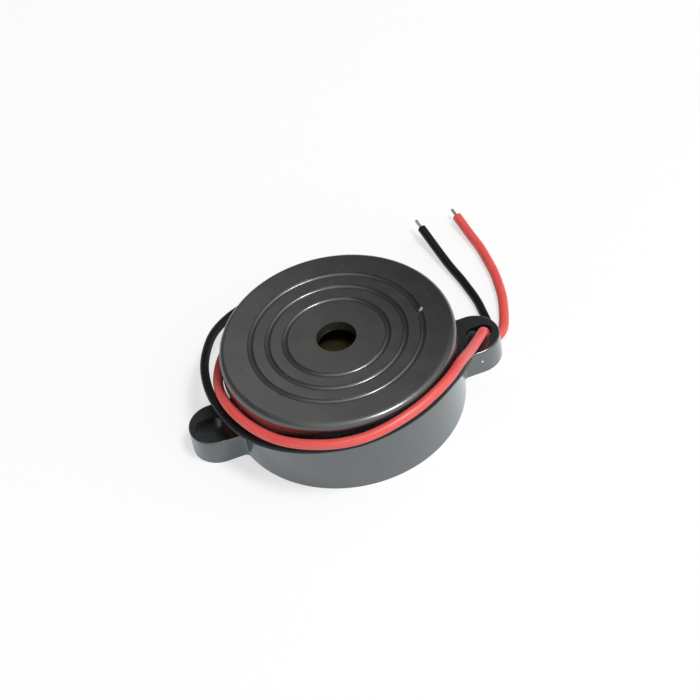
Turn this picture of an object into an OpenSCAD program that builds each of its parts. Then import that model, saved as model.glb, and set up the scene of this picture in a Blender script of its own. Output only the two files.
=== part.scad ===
// Panel buzzer: a round moulded sounder with two slotted ears and two wrapped hook-up leads.
// Frame: millimetres, +Z up, origin at the middle of the base, ears along X, lead notch on +Y.

/* [Housing] */
// Diameter of the side wall at the base
body_d = 42; // [40:0.5:50]
// Mould draft of the side wall, from the base to the rim
wall_draft = 0.15; // [0.1:0.05:0.5]
// Overall height
body_h = 16; // [15:0.5:22]
// Rounding of the top rim
rim_r = 1.2; // [0.5:0.1:1.6]
// Thickness of the front face
face_t = 2; // [1.5:0.1:3]
// Thickness of the side wall at its thin upper end
wall_t = 2; // [1.6:0.1:2.4]

/* [Front face] */
// Diameter of the sound hole
sound_hole_d = 7.1; // [3:0.1:10]
// Number of ring grooves round the sound hole
groove_count = 3; // [1:1:4]
// Radius of the innermost ring groove
groove_first_r = 9.1; // [7:0.1:10]
// Plain band between the outermost ring groove's middle and the rim's rounding
groove_edge = 4.45; // [3:0.05:5]
// Width of a ring groove
groove_w = 1.1; // [0.6:0.1:1.6]
// Depth of a ring groove
groove_depth = 0.45; // [0.2:0.05:0.5]

/* [Ears] */
// Width of an ear
ear_w = 9.6; // [8:0.2:12]
// Thickness of an ear
ear_t = 5.1; // [4.6:0.1:6]
// How far an ear stands out from the foot of the side wall
ear_out = 8.1; // [7:0.1:10]
// Rounding of an ear's top edge
ear_edge_r = 0.3; // [0.2:0.1:0.8]
// Fillet where an ear's side meets the side wall
ear_root_r = 1; // [0.5:0.1:2]
// Width of a screw slot
slot_w = 3.2; // [3:0.1:3.6]
// Wall between a screw slot's outer end and the ear's tip
slot_tip_t = 1.2; // [0.8:0.1:1.6]
// Distance from the foot of the side wall to a screw slot's inner end
slot_root = 2.1; // [1.6:0.1:2.4]

/* [Lead openings] */
// Width of the notch in the base rim where the leads come out
notch_w = 5.2; // [5:0.1:6]
// Height of that notch
notch_h = 2.2; // [2.1:0.1:2.3]
// Width of the channel under one ear that lets the leads out of its slot
channel_w = 4.6; // [4.5:0.1:5]
// Height of that channel
channel_h = 3.4; // [3.3:0.1:3.6]
// Direction of that channel, from the ear's axis
channel_dir = 33; // [30:1:36]
// Corner rounding of both openings
opening_r = 0.6; // [0.3:0.1:0.8]

/* [Sounder] */
// Thickness of the brass disc
disc_t = 0.3; // [0.2:0.05:0.5]
// Side clearance of the brass disc between the ribs
disc_clear = 0.2; // [0.1:0.05:0.4]
// Depth of the sound chamber above the brass disc
chamber_h = 3.4; // [2.5:0.1:4]
// Thickness of the seat ring that carries the brass disc
seat_t = 1.5; // [1:0.1:2]
// Width of the sealing bead round the seat ring
seat_bead_w = 0.8; // [0.5:0.1:1]
// Bare brass round the ceramic disc
brass_edge = 5; // [4.5:0.1:5.5]
// Thickness of the ceramic disc
ceramic_t = 0.25; // [0.15:0.05:0.3]
// Bare ceramic round the silvered area
ceramic_edge = 1; // [0.6:0.1:1.5]
// Thickness of the silvered area
silver_t = 0.1; // [0.05:0.05:0.15]
// Width of the feedback tongue
tongue_w = 5; // [4:0.2:6]
// Distance of the tongue's round end from the middle
tongue_start = 4; // [3:0.2:5]
// Bare gap between the two silvered areas
silver_gap = 0.8; // [0.5:0.1:1.2]

/* [Driver board] */
// Thickness of the board
board_t = 1.2; // [1:0.1:1.6]
// Depth of the board's underside above the base
board_recess = 2.4; // [2.4:0.1:2.8]
// Clearance round the board
board_clear = 0.15; // [0.1:0.05:0.3]
// Width of the glue bead round the board's underside
board_bead_w = 1.5; // [1:0.1:2]
// Number of ribs that carry the board and centre the brass disc
rib_count = 6; // [4:1:8]
// Width of a rib
rib_w = 1.6; // [1:0.1:2.2]
// How far a rib stands in from the bore
rib_t = 1.15; // [1:0.05:1.4]
// Diameter of the component holes in the board
hole_d = 0.9; // [0.8:0.05:1.1]

/* [Components] */
// Diameter of the component legs
leg_d = 0.6; // [0.4:0.05:0.7]
// Diameter of the choke's flanges
choke_d = 7.4; // [6:0.1:8]
// Clearance between the choke and the silvered area above it
choke_clear = 0.95; // [0.5:0.05:1.5]
// Thickness of a choke flange
choke_flange_t = 0.8; // [0.5:0.1:1.2]
// Diameter of the choke's hub
choke_hub_d = 3; // [2:0.1:4]
// Depth of the choke's winding below its flanges
winding_drop = 0.4; // [0.2:0.1:0.8]
// Distance between the choke's legs
choke_leg_pitch = 5; // [4:0.1:5.4]
// Diameter of the transistor's round back
transistor_d = 4.7; // [4.4:0.1:5]
// Thickness of the transistor from flat to back
transistor_t = 3.7; // [3.2:0.1:4]
// Clearance between the transistor and the silvered area above it
transistor_clear = 0.45; // [0.3:0.05:1]
// Distance between the transistor's legs
transistor_leg_pitch = 1.4; // [1.3:0.05:1.6]
// Height of the transistor's case above the board
transistor_lift = 1.4; // [1:0.1:1.5]
// Diameter of a resistor's body
resistor_d = 1.9; // [1.6:0.1:2.4]
// Length of a resistor's body
resistor_l = 3.6; // [3:0.1:5]
// Distance between a resistor's legs
resistor_leg_pitch = 7.5; // [6.5:0.1:8]
// Distance from one resistor's leg to the other resistor's nearest leg
resistor_gap = 2.5; // [2:0.1:3]
// Clearance of the choke and the resistors above the board
part_lift = 0.2; // [0.1:0.1:0.3]
// Foot diameter of a solder joint on a leg
joint_d = 1.3; // [1:0.1:1.3]
// Height of a solder joint
joint_h = 0.8; // [0.5:0.1:1]
// Foot diameter of the two lead joints
lead_joint_d = 2.4; // [2:0.1:2.8]
// Height of the two lead joints
lead_joint_h = 1.7; // [1.4:0.1:1.9]
// Distance between the two lead joints
lead_joint_pitch = 3; // [2.8:0.1:3.2]
// Distance of the lead joints from the board's edge
lead_joint_in = 6.3; // [5.8:0.1:6.8]
// Distance from the middle of a lead joint to where the insulation starts
lead_strip_l = 1; // [0.8:0.1:1.1]

/* [Leads] */
// Outside diameter of the red lead
red_lead_d = 1.8; // [1.5:0.1:1.8]
// Outside diameter of the black lead
black_lead_d = 1.6; // [1.4:0.1:1.6]
// Diameter of the tinned strands at the lead tips
strand_d = 0.6; // [0.4:0.05:0.8]
// Length of the tinned strands at the lead tips
strand_l = 2; // [1:0.5:5]
// Outside diameter of the three inner jumper wires
jumper_d = 0.8; // [0.6:0.1:1]

/* [Hidden] */
$fn = 96;

// Overlap of cutting tools past a surface
cut = 1;
// Gap that keeps two touching pieces from sharing a face
touch = 0.02;
body_r = body_d / 2;
cap_r = body_r - wall_draft;
draft_h = body_h - rim_r;
bore_r = cap_r - wall_t;
ceiling_z = body_h - face_t;
groove_r = (pow(groove_w / 2, 2) + pow(groove_depth, 2)) / (2 * groove_depth);
groove_last_r = cap_r - rim_r - groove_edge;
groove_pitch = (groove_last_r - groove_first_r) / max(groove_count - 1, 1);

ear_reach = body_r + ear_out;
ear_end_r = ear_w / 2;
ear_end_x = ear_reach - ear_end_r;
slot_l = ear_out - slot_root - slot_tip_t;
slot_x = body_r + slot_root + slot_l / 2;
slot_end = slot_l / 2 - slot_w / 2;

board_z = board_recess;
board_top = board_z + board_t;
board_r = bore_r - board_clear;
rib_r = bore_r - rib_t;
disc_r = rib_r - disc_clear;
disc_top = ceiling_z - chamber_h;
disc_z = disc_top - disc_t;
seat_r = disc_r - seat_bead_w;
ceramic_r = disc_r - brass_edge;
ceramic_z = disc_z - ceramic_t;
silver_r = ceramic_r - ceramic_edge;
silver_z = ceramic_z - silver_t;

// Places of the components on the board, as shares of its radius
choke_at = board_r * [-0.4, -0.05];
transistor_at = board_r * [0.35, 0.08];
resistor_x = (resistor_gap + resistor_leg_pitch) / 2;
resistor_y = board_r * -0.48;
base_at = [resistor_x, resistor_y];
bias_at = [-resistor_x, resistor_y];
choke_leg_at = [for (s = [-1, 1]) choke_at + [s * choke_leg_pitch / 2, 0]];
transistor_leg_at = [for (s = [-1, 0, 1]) transistor_at + [s * transistor_leg_pitch, 0]];
resistor_leg_at = [for (at = [base_at, bias_at], s = [-1, 1]) at + [s * resistor_leg_pitch / 2, 0]];
resistor_z = board_top + part_lift + resistor_d / 2;
choke_z = board_top + part_lift;
choke_h = silver_z - choke_clear - choke_z;
transistor_z = board_top + transistor_lift;
transistor_h = silver_z - transistor_clear - transistor_z;

// The tongue of the feedback electrode points this way; the jumpers end at these solder dots
tongue_dir = 45;
ground_dir = 100;
ground_dot = (ceramic_r + seat_r - seat_t) / 2 * [cos(ground_dir), sin(ground_dir)];
drive_dot = silver_r * [-0.52, 0.56];
feedback_dot = (tongue_start + tongue_w * 0.75) * [cos(tongue_dir), sin(tongue_dir)];
dot_d = 1.8;
dot_tip_d = dot_d / 2;
dot_h = 0.8;
joint_tip_d = joint_d / 3;
lead_joint_tip_d = lead_joint_d * 0.8;
ground_hole = board_r * [-0.13, 0.53];
drive_hole = board_r * [-0.48, 0.45];
feedback_hole = board_r * [0.11, 0.43];
jumper_at = [ground_hole, drive_hole, feedback_hole];

// The leads start at two joints under the board and run straight out through the notch
lead_joint_x = lead_joint_pitch / 2;
lead_joint_y = board_r - lead_joint_in;
lead_start_y = lead_joint_y + lead_strip_l;

// Route points: out of the notch with y from the foot of the side wall, round the side wall as
// [azimuth, distance from the foot of the wall, height], and through the ear with x from its slot
red_out = [
    [-lead_joint_x, lead_start_y - body_r, 1.1], [-lead_joint_x, -3.8, 1.1], [-lead_joint_x, 0, 1.1],
    [-1.9, 2, 1.2], [-3.2, 3.3, 1.4],
];
red_wrap = [
    [101, 3.6, 2], [113, 3, 3.6], [125, 2.1, 5.6], [137, 1.4, 7.3], [149, 1.05, 8.5], [161, 0.95, 9.4],
    [173, 0.95, 10.6], [186, 0.95, 11.8], [199, 0.95, 12.3], [212, 0.95, 12.25], [225, 1.15, 12.55],
    [238, 1.45, 13.2], [251, 1.65, 13.65], [264, 1.65, 14.1], [277, 1.5, 14.75], [290, 1.25, 15],
    [302, 1.15, 15], [313, 1.2, 14.65], [323, 1.1, 13.6],
];
red_through_ear = [
    [-5.75, -10.35, 11.75], [-3.9, -7.55, 9.75], [-2.3, -5.05, 8.2], [-1, -3.2, 7.2], [-0.05, -1.85, 6.6],
    [0.6, -0.75, 5.7], [0.98, -0.1, 4.5], [1.3, 0.2, 3.3], [1.85, 0.42, 2.3], [2.65, 0.72, 1.55],
];
red_tail = [
    [3.6, 1.2, 1.1], [4.6, 1.95, 0.96], [5.45, 3.1, 0.95], [6.2, 4.7, 0.95], [7.2, 7.5, 0.95],
    [8.05, 10.5, 0.95], [8.6, 13.7, 0.95], [8.95, 17, 0.95], [9, 20.4, 0.97], [8.95, 23.9, 1],
    [8.5, 27.5, 1.2], [8.05, 30.9, 1.6], [7.75, 33, 1.9],
];
black_out = [
    [lead_joint_x, lead_start_y - body_r, 1.1], [lead_joint_x, -3.8, 1.1], [lead_joint_x, 0, 1.1],
    [1.3, 2.6, 1.2], [0.2, 5, 1.6], [-1.9, 6.5, 2.2],
];
black_wrap = [
    [99, 7.2, 3], [107, 7, 4.1], [117, 6.4, 5.5], [127, 5.7, 6.9], [137, 4.95, 8.2], [147, 4.15, 9.1],
    [157, 3.55, 9.7], [167, 3, 9.9], [177, 2.5, 10], [188, 2, 9.9], [200, 1.7, 9.9], [212, 1.4, 10.2],
    [225, 1.1, 10.75], [238, 0.95, 11.4], [251, 0.9, 12], [264, 0.9, 12.5], [277, 0.9, 13],
    [290, 0.9, 13.25], [302, 0.9, 13.25], [313, 0.9, 12.85], [323, 0.9, 11.5],
];
black_through_ear = [
    [-5.9, -9.8, 9.5], [-4.5, -7, 7.75], [-3.6, -4.7, 6.9], [-2.7, -2.8, 6.6], [-1.75, -1.25, 6.2],
    [-1.2, -0.25, 5.3], [-0.9, 0.25, 4.15], [-0.5, 0.5, 2.9], [0.05, 0.95, 1.85], [0.85, 1.55, 1.1],
];
black_tail = [
    [1.85, 2.35, 0.9], [2.8, 3.45, 0.86], [3.25, 4.9, 0.85], [3.4, 6.6, 0.85], [3.47, 8.5, 0.85],
    [3.55, 10.6, 0.85], [3.45, 12.95, 0.85], [3.2, 15.3, 0.85], [2.9, 17.7, 0.9], [2.4, 20.4, 1],
    [1.85, 23.4, 1.3], [1.25, 27, 1.9], [0.75, 29.9, 2.5], [0.35, 32, 3],
];

function from_notch(list) = [for (p = list) [p[0], body_r + p[1], p[2]]];
function round_wall(list) =
    [for (p = list) [(body_r + p[1]) * cos(p[0]), (body_r + p[1]) * sin(p[0]), p[2]]];
function from_slot(list) = [for (p = list) [slot_x + p[0], p[1], p[2]]];
red_route = concat(
    from_notch(red_out), round_wall(red_wrap), from_slot(red_through_ear), from_slot(red_tail)
);
black_route = concat(
    from_notch(black_out), round_wall(black_wrap), from_slot(black_through_ear), from_slot(black_tail)
);

// A jumper rises from its board hole and swings over to its solder dot
function jumper_route(from, to, dot_z) =
    let (rise = dot_z - dot_h - touch - board_top)
    [for (s = [[0, 0], [0, 0.2], [0.15, 0.45], [0.6, 0.68], [1, 0.85], [1, 1]])
        concat(from + s[0] * (to - from), board_top + touch + s[1] * (rise - touch))];

// A tube is a ring of points set across the path at each of its points, turned as little as possible
tube_sides = 8;
function unit(v) = v / norm(v);
function along(path) =
    let (last = len(path) - 1)
    [for (i = [0:last]) unit(path[min(i + 1, last)] - path[max(i - 1, 0)])];
function across(n, t) = unit(n - (n * t) * t);
function carried(dirs, n, i = 0) =
    i == len(dirs) ? [] : let (m = across(n, dirs[i])) concat([m], carried(dirs, m, i + 1));
function ring(p, t, n, r) =
    [for (k = [0:tube_sides - 1])
        let (a = 360 * k / tube_sides)
        p + r * (cos(a) * n + sin(a) * cross(t, n))];

module tube(path, d, first_side = [0, 0, 1]) {
    dirs = along(path);
    sides = carried(dirs, first_side);
    last = len(path) - 1;
    points = [for (i = [0:last]) each ring(path[i], dirs[i], sides[i], d / 2)];
    walls = [for (i = [0:last - 1], k = [0:tube_sides - 1])
        let (a = i * tube_sides + k, b = i * tube_sides + (k + 1) % tube_sides)
        each [[a, b + tube_sides, b], [a, a + tube_sides, b + tube_sides]]];
    caps = [
        [for (k = [0:tube_sides - 1]) k],
        [for (k = [tube_sides - 1:-1:0]) last * tube_sides + k],
    ];
    polyhedron(points, concat(walls, caps), convexity = 8);
}

module torus(r, section_r) {
    rotate_extrude() translate([r, 0]) circle(section_r);
}

// An opening's outline, standing on the X axis, with its two upper corners rounded
module arch(w, h) {
    translate([-w / 2, -cut]) square([w, h - opening_r + cut]);
    translate([opening_r - w / 2, 0]) square([w - 2 * opening_r, h]);
    for (s = [-1, 1]) translate([s * (w / 2 - opening_r), h - opening_r]) circle(opening_r);
}

module slot_outline() {
    square([2 * slot_end, slot_w], center = true);
    for (s = [-1, 1]) translate([s * slot_end, 0]) circle(slot_w / 2);
}

// The fillets between an ear's two sides and the side wall
module ear_roots() {
    middle_y = ear_end_r + ear_root_r;
    middle_x = sqrt(pow(body_r + ear_root_r, 2) - pow(middle_y, 2));
    touch_wall = [middle_x, middle_y] * body_r / (body_r + ear_root_r);
    for (m = [0, 1]) mirror([0, m]) difference() {
        polygon([[bore_r + wall_t / 2, 0], [middle_x, 0], [middle_x, middle_y], touch_wall]);
        translate([middle_x, middle_y]) circle(ear_root_r);
    }
}

module ear() {
    flat_w = ear_w - 2 * ear_edge_r;
    edge_z = ear_t - ear_edge_r;
    linear_extrude(edge_z) {
        translate([bore_r, -ear_end_r]) square([ear_end_x - bore_r, ear_w]);
        translate([ear_end_x, 0]) circle(ear_end_r);
        ear_roots();
    }
    linear_extrude(ear_t) {
        translate([bore_r, -flat_w / 2]) square([ear_end_x - bore_r, flat_w]);
        translate([ear_end_x, 0]) circle(flat_w / 2);
    }
    translate([ear_end_x, 0, edge_z]) torus(flat_w / 2, ear_edge_r);
    for (s = [-1, 1]) translate([bore_r, s * flat_w / 2, edge_z])
        rotate([0, 90, 0]) cylinder(h = ear_end_x - bore_r, r = ear_edge_r);
}

module housing_solid() {
    cylinder(h = draft_h, r1 = body_r, r2 = cap_r);
    cylinder(h = body_h, r = cap_r - rim_r);
    translate([0, 0, draft_h]) torus(cap_r - rim_r, rim_r);
    for (turn = [0, 180]) rotate(turn) ear();
}

module ribs() {
    rib_h = ceiling_z - board_top + cut;
    for (i = [0:rib_count - 1]) rotate(360 * (i + 0.5) / rib_count)
        translate([rib_r, -rib_w / 2, board_top]) cube([rib_t + wall_t / 2, rib_w, rib_h]);
}

module housing() color("#3a3c3e") {
    difference() {
        housing_solid();
        translate([0, 0, -cut]) cylinder(h = ceiling_z + cut, r = bore_r);
        cylinder(h = body_h + cut, d = sound_hole_d);
        for (i = [0:groove_count - 1]) translate([0, 0, body_h + groove_r - groove_depth])
            torus(groove_first_r + i * groove_pitch, groove_r);
        for (s = [-1, 1]) translate([s * slot_x, 0, -cut]) linear_extrude(ear_t + 2 * cut) slot_outline();
        rotate([90, 0, 180]) linear_extrude(body_r + cut) arch(notch_w, notch_h);
        translate([slot_x + slot_end / 2, 0, 0]) rotate([90, 0, channel_dir + 90])
            linear_extrude(ear_w) arch(channel_w, channel_h);
    }
    difference() {
        translate([0, 0, disc_top]) cylinder(h = chamber_h + cut, r = seat_r);
        translate([0, 0, disc_top - cut]) cylinder(h = chamber_h + 3 * cut, r = seat_r - seat_t);
    }
    ribs();
}

module diaphragm() color("#c8a24a")
    translate([0, 0, disc_z]) cylinder(h = disc_t, r = disc_r);

module ceramic_disc() color("#e6e0cf")
    translate([0, 0, ceramic_z]) cylinder(h = ceramic_t, r = ceramic_r);

// The tongue runs from its round end out to the silver's edge; grow widens it all round
module tongue_outline(grow) {
    rotate(tongue_dir) {
        translate([tongue_start + tongue_w / 2, 0]) circle(tongue_w / 2 + grow);
        translate([tongue_start + tongue_w / 2, -tongue_w / 2 - grow])
            square([silver_r, tongue_w + 2 * grow]);
    }
}

module drive_electrode() color("#cfd2d4")
    translate([0, 0, silver_z]) linear_extrude(silver_t) difference() {
        circle(silver_r);
        tongue_outline(silver_gap);
    }

module feedback_electrode() color("#cfd2d4")
    translate([0, 0, silver_z]) linear_extrude(silver_t) intersection() {
        circle(silver_r);
        tongue_outline(0);
    }

module diaphragm_bead() color("#e9e7e2")
    translate([0, 0, disc_top]) rotate_extrude()
        polygon([[seat_r, 0], [disc_r, 0], [seat_r, seat_bead_w]]);

module driver_board() color("#b88a4e") difference() {
    translate([0, 0, board_z]) cylinder(h = board_t, r = board_r);
    for (p = concat(choke_leg_at, transistor_leg_at, resistor_leg_at))
        translate([p[0], p[1], board_z - cut]) cylinder(h = board_t + 2 * cut, d = hole_d);
}

// The bead stops on both sides of the lead notch
module board_bead() color("#efe9da") {
    open_angle = 2 * asin((notch_w / 2 + board_bead_w) / bore_r);
    outer_r = bore_r - touch;
    rotate(90 + open_angle / 2) translate([0, 0, board_z]) rotate_extrude(angle = 360 - open_angle)
        polygon([[bore_r - board_bead_w, -touch], [outer_r, -touch], [outer_r, -board_bead_w / 2]]);
}

module legs(places, top_z) {
    for (p = places) translate([p[0], p[1], board_z]) cylinder(h = top_z - board_z, d = leg_d);
}

module transistor_case() color("#1c1d1f")
    translate([transistor_at[0], transistor_at[1], transistor_z]) difference() {
        cylinder(h = transistor_h, d = transistor_d);
        translate([-transistor_d, transistor_d / 2 - transistor_t - transistor_d, -cut])
            cube([2 * transistor_d, transistor_d, transistor_h + 2 * cut]);
    }

module transistor_legs() color("#d7d9da") legs(transistor_leg_at, transistor_z);

module choke_core() color("#45423f") translate([choke_at[0], choke_at[1], choke_z]) {
    cylinder(h = choke_h, d = choke_hub_d);
    for (z = [0, choke_h - choke_flange_t]) translate([0, 0, z]) cylinder(h = choke_flange_t, d = choke_d);
}

module choke_winding() color("#b5622c")
    translate([choke_at[0], choke_at[1], choke_z + choke_flange_t + touch]) difference() {
        cylinder(h = choke_h - 2 * (choke_flange_t + touch), r = choke_d / 2 - winding_drop);
        translate([0, 0, -cut]) cylinder(h = choke_h, r = choke_hub_d / 2 + touch);
    }

module choke_legs() color("#d7d9da") legs(choke_leg_at, choke_z);

module resistor(at) {
    translate([at[0] - resistor_l / 2, at[1], resistor_z]) rotate([0, 90, 0])
        cylinder(h = resistor_l, d = resistor_d);
}

module base_resistor() color("#d9b889") resistor(base_at);

module bias_resistor() color("#d9b889") resistor(bias_at);

// Each leg runs along the resistor's axis from the body's end and turns down into the board
module resistor_legs() color("#d7d9da") for (at = [base_at, bias_at], s = [0, 180])
    translate([at[0], at[1], 0]) rotate(s) {
        translate([resistor_leg_pitch / 2, 0, board_z]) cylinder(h = resistor_z - board_z, d = leg_d);
        translate([resistor_leg_pitch / 2, 0, resistor_z]) sphere(d = leg_d);
        translate([resistor_l / 2, 0, resistor_z]) rotate([0, 90, 0])
            cylinder(h = (resistor_leg_pitch - resistor_l) / 2, d = leg_d);
    }

// Cones under the legs and jumpers, and two larger ones cut flat where the leads start
module board_solder() color("#c9cccd") {
    for (p = concat(choke_leg_at, transistor_leg_at, resistor_leg_at, jumper_at))
        translate([p[0], p[1], board_z - joint_h]) cylinder(h = joint_h, d1 = joint_tip_d, d2 = joint_d);
    for (s = [-1, 1]) difference() {
        translate([s * lead_joint_x, lead_joint_y, board_z - lead_joint_h])
            cylinder(h = lead_joint_h, d1 = lead_joint_tip_d, d2 = lead_joint_d);
        translate([s * lead_joint_x - lead_joint_d, lead_start_y - touch, -cut])
            cube([2 * lead_joint_d, lead_joint_d, board_z + 2 * cut]);
    }
}

module solder_dot(at, z) {
    translate([at[0], at[1], z - dot_h]) cylinder(h = dot_h, d1 = dot_tip_d, d2 = dot_d);
}

module disc_solder() color("#c9cccd") {
    solder_dot(ground_dot, disc_z);
    solder_dot(drive_dot, silver_z);
    solder_dot(feedback_dot, silver_z);
}

module jumper(from, to, dot_z) {
    tube(jumper_route(from, to, dot_z), jumper_d, [1, 0, 0]);
}

module ground_jumper() color("#26282a") jumper(ground_hole, ground_dot, disc_z);

module drive_jumper() color("#b8302c") jumper(drive_hole, drive_dot, silver_z);

module feedback_jumper() color("#2f5fa8") jumper(feedback_hole, feedback_dot, silver_z);

// The bare strands carry straight on from the end of the insulation
module lead_tip(route) {
    last = len(route) - 1;
    end_dir = unit(route[last] - route[last - 1]);
    tube([route[last], route[last] + strand_l * end_dir], strand_d);
}

module red_lead() color("#e0453c") tube(red_route, red_lead_d);

module red_lead_tip() color("#c3c6c8") lead_tip(red_route);

module black_lead() color("#222426") tube(black_route, black_lead_d);

module black_lead_tip() color("#c3c6c8") lead_tip(black_route);

housing();
diaphragm();
ceramic_disc();
drive_electrode();
feedback_electrode();
diaphragm_bead();
driver_board();
board_bead();
transistor_case();
transistor_legs();
choke_core();
choke_winding();
choke_legs();
base_resistor();
bias_resistor();
resistor_legs();
board_solder();
disc_solder();
ground_jumper();
drive_jumper();
feedback_jumper();
red_lead();
red_lead_tip();
black_lead();
black_lead_tip();
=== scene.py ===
"""Looks of a round panel buzzer: satin black moulding, insulated leads, bare strands, sounder and board."""

import math

import bpy
import numpy as np
from mathutils import Matrix, Vector


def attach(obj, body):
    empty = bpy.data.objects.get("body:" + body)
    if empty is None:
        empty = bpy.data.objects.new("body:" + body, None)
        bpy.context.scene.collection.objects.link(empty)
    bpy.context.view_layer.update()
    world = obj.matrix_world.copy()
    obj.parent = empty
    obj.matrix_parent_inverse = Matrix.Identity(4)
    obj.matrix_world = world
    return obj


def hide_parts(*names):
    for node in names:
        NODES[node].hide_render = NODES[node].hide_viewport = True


bl_info = {
    "name": "Panel buzzer looks",
    "version": (1, 0, 0),
    "blender": (4, 5, 0),
    "location": "3D View > Sidebar > Buzzer",
    "description": "Dresses the packed panel buzzer with its leads, strands, board and finishes",
    "category": "Object",
}

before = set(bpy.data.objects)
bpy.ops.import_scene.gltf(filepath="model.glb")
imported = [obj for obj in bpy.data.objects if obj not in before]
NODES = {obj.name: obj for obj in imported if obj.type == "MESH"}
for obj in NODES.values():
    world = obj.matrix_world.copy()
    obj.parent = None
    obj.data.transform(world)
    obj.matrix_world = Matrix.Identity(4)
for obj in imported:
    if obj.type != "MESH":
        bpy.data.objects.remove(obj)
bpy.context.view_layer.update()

MM = 0.001
BODY = "root"

# Sizes of the solids in millimetres
BODY_R = 21.0
BODY_H = 16.0
SLOT_X = 25.5
BOARD_R = 18.7
BOARD_Z = 2.4
BOARD_TOP = 3.6
RESISTOR_X = 5.0
LEAD_START = -7.6

# Side of the face that is painted lighter as painted light, and two nicks as (place, radius) in millimetres
PAINTED_LIGHT_SIDE = (-0.96, -0.28, 0)
NICKS = (((15.5, -0.2, 15.95), 0.5), ((24.1, -4.8, 2.7), 0.25))

# Lead routes in millimetres: out of the notch with y from the foot of the wall, round the wall as
# (azimuth in degrees, distance from the foot of the wall, height), through the ear with x from its slot
RED_OUT = [
    (-1.5, LEAD_START, 1.1), (-1.5, -3.8, 1.1), (-1.5, 0, 1.1),
    (-1.9, 2, 1.2), (-3.2, 3.3, 1.4),
]
RED_WRAP = [
    (101, 3.6, 2), (113, 3, 3.6), (125, 2.1, 5.6), (137, 1.4, 7.3), (149, 1.05, 8.5), (161, 0.95, 9.4),
    (173, 0.95, 10.6), (186, 0.95, 11.8), (199, 0.95, 12.3), (212, 0.95, 12.25), (225, 1.15, 12.55),
    (238, 1.45, 13.2), (251, 1.65, 13.65), (264, 1.65, 14.1), (277, 1.5, 14.75), (290, 1.25, 15),
    (302, 1.15, 15), (313, 1.2, 14.65), (323, 1.1, 13.6),
]
RED_EAR = [
    (-5.75, -10.35, 11.75), (-3.9, -7.55, 9.75), (-2.3, -5.05, 8.2), (-1, -3.2, 7.2), (-0.05, -1.85, 6.6),
    (0.6, -0.75, 5.7), (0.98, -0.1, 4.5), (1.3, 0.2, 3.3), (1.85, 0.42, 2.3), (2.65, 0.72, 1.55),
    (3.6, 1.2, 1.1), (4.6, 1.95, 0.96), (5.45, 3.1, 0.95), (6.2, 4.7, 0.95), (7.2, 7.5, 0.95),
    (8.05, 10.5, 0.95), (8.6, 13.7, 0.95), (8.95, 17, 0.95), (9, 20.4, 0.97), (8.95, 23.9, 1),
    (8.5, 27.5, 1.2), (8.05, 30.9, 1.6), (7.75, 33, 1.9),
]
BLACK_OUT = [
    (1.5, LEAD_START, 1.1), (1.5, -3.8, 1.1), (1.5, 0, 1.1),
    (1.3, 2.6, 1.2), (0.2, 5, 1.6), (-1.9, 6.5, 2.2),
]
BLACK_WRAP = [
    (99, 7.2, 3), (107, 7, 4.1), (117, 6.4, 5.5), (127, 5.7, 6.9), (137, 4.95, 8.2), (147, 4.15, 9.1),
    (157, 3.55, 9.7), (167, 3, 9.9), (177, 2.5, 10), (188, 2, 9.9), (200, 1.7, 9.9), (212, 1.4, 10.2),
    (225, 1.1, 10.75), (238, 0.95, 11.4), (251, 0.9, 12), (264, 0.9, 12.5), (277, 0.9, 13),
    (290, 0.9, 13.25), (302, 0.9, 13.25), (313, 0.9, 12.85), (323, 0.9, 11.5),
]
BLACK_EAR = [
    (-5.9, -9.8, 9.5), (-4.5, -7, 7.75), (-3.6, -4.7, 6.9), (-2.7, -2.8, 6.6), (-1.75, -1.25, 6.2),
    (-1.2, -0.25, 5.3), (-0.9, 0.25, 4.15), (-0.5, 0.5, 2.9), (0.05, 0.95, 1.85), (0.85, 1.55, 1.1),
    (1.85, 2.35, 0.9), (2.8, 3.45, 0.86), (3.25, 4.9, 0.85), (3.4, 6.6, 0.85), (3.47, 8.5, 0.85),
    (3.55, 10.6, 0.85), (3.45, 12.95, 0.85), (3.2, 15.3, 0.85), (2.9, 17.7, 0.9), (2.4, 20.4, 1),
    (1.85, 23.4, 1.3), (1.25, 27, 1.9), (0.75, 29.9, 2.5), (0.35, 32, 3),
]

# Places under the board in millimetres: the joints of the leads, the components and the inner wires
RED_JOINT, BLACK_JOINT = (-1.5, 12.4), (1.5, 12.4)
GROUND_JOINT, DRIVE_JOINT, FEEDBACK_JOINT = (-2.43, 9.91), (-8.98, 8.42), (2.06, 8.04)
CHOKE_IN, CHOKE_OUT = (-9.98, -0.94), (-4.98, -0.94)
EMITTER, BASE, COLLECTOR = (5.14, 1.5), (6.54, 1.5), (7.94, 1.5)
BASE_IN, BASE_OUT, BIAS_IN, BIAS_OUT = (8.75, -8.98), (1.25, -8.98), (-8.75, -8.98), (-1.25, -8.98)

# Copper tracks from joint to joint, with the points between them chosen so that none crosses another
TRACKS = {
    "supply": [
        [RED_JOINT, (-5, 12.9), (-10.6, 9.6), (-12.8, 4.4), CHOKE_IN],
        [CHOKE_IN, (-11.4, -3.4), (-11, -6.6), BIAS_IN],
    ],
    "drive": [
        [COLLECTOR, (8.2, -1.2), (5.5, -3), (-0.8, -2.8), CHOKE_OUT],
        [CHOKE_OUT, (-6.2, 3.2), DRIVE_JOINT],
    ],
    "ground": [
        [EMITTER, (2.8, 4), (-0.8, 6.6), GROUND_JOINT],
        [GROUND_JOINT, (0.2, 10.6), BLACK_JOINT],
    ],
    "feedback": [[FEEDBACK_JOINT, (6.4, 7.8), (11.4, 4.6), (13, -1.4), (11.9, -6.4), BASE_IN]],
    "base": [
        [BASE, (7, 3.5), (9.4, 3.4), (10.5, 0.6), (9.2, -4), (4.4, -6.2), BASE_OUT],
        [BASE_OUT, BIAS_OUT],
    ],
}


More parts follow.
